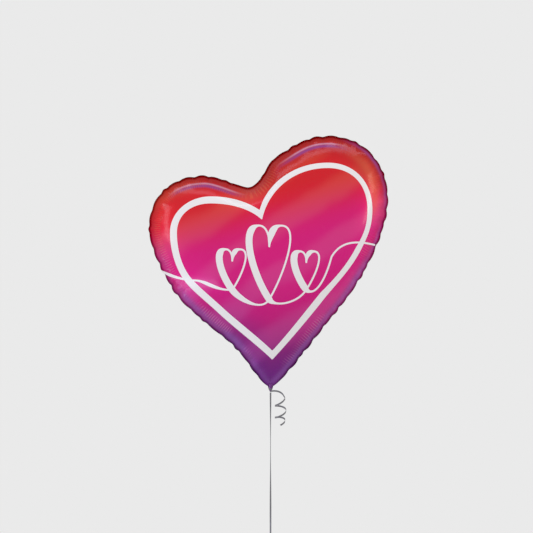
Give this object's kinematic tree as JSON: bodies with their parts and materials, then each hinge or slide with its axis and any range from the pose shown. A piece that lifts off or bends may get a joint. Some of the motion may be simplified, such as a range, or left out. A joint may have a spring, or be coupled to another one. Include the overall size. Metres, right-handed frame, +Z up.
{
  "type": "heart-shaped foil balloon",
  "caption": "Inflated heart-shaped foil balloon with a self-sealing valve, folded filling tail, tied neck, curled ribbon end and a ribbon tether with a hand loop.",
  "frame": {"origin": "middle of the ribbon tie on the gathered neck, just under the heart's tip", "axes": "+Z up from the tie to the heart, -Y out of the printed front, +X to the right seen from the front"},
  "size_m": [0.7161, 0.2324, 1.256],
  "materials": {
    "foil_front": "printed metallised film, satin gloss, red at the top through magenta to purple at the tip, with a white line heart",
    "foil_back": "printed metallised film, satin gloss, red at the top through magenta to purple at the tip",
    "valve_film": "clear polyethylene film",
    "foil_neck": "gathered purple metallised film",
    "foil_tail": "pleated purple metallised film",
    "ribbon": "silver-grey polypropylene curling ribbon, fine lengthwise ribs"
  },
  "bodies": {
    "balloon": {"front_panel": "foil_front", "back_panel": "foil_back", "valve_front_film": "valve_film", "valve_back_film": "valve_film", "neck": "foil_neck", "ribbon_wrap": "ribbon"},
    "tail": {"tail_front_film": "foil_tail", "tail_back_film": "foil_tail"},
    "knot": {"ribbon_knot": "ribbon"},
    "tether": {"ribbon_tether": "ribbon", "loop_knot": "ribbon"},
    "loop": {"hand_loop": "ribbon"},
    "curl": {"ribbon_curl_lead": "ribbon", "ribbon_curl": "ribbon"}
  },
  "joints": [
    {"name": "tail_fold", "type": "hinge", "parent": "balloon", "child": "tail", "pos_m": [0, 0.007, -0.0045], "axis": [-1, 0, 0], "range_deg": [0, 90]},
    {"name": "tether_swing_front", "type": "hinge", "parent": "balloon", "child": "knot", "pos_m": [0, -0.009, -0.006], "axis": [1, 0, 0], "range_deg": [-45, 45]},
    {"name": "tether_swing_side", "type": "hinge", "parent": "knot", "child": "tether", "pos_m": [0, -0.009, -0.006], "axis": [0, 1, 0], "range_deg": [-60, 60]},
    {"name": "loop_swing", "type": "hinge", "parent": "tether", "child": "loop", "pos_m": [0, -0.009, -0.452], "axis": [1, 0, 0], "range_deg": [-60, 60]},
    {"name": "curl_swing", "type": "hinge", "parent": "knot", "child": "curl", "pos_m": [0, -0.009, -0.006], "axis": [0, 1, 0], "range_deg": [-30, 45], "stiffness_Nm_per_rad": 0.002, "springref_deg": -5.61}
  ]
}
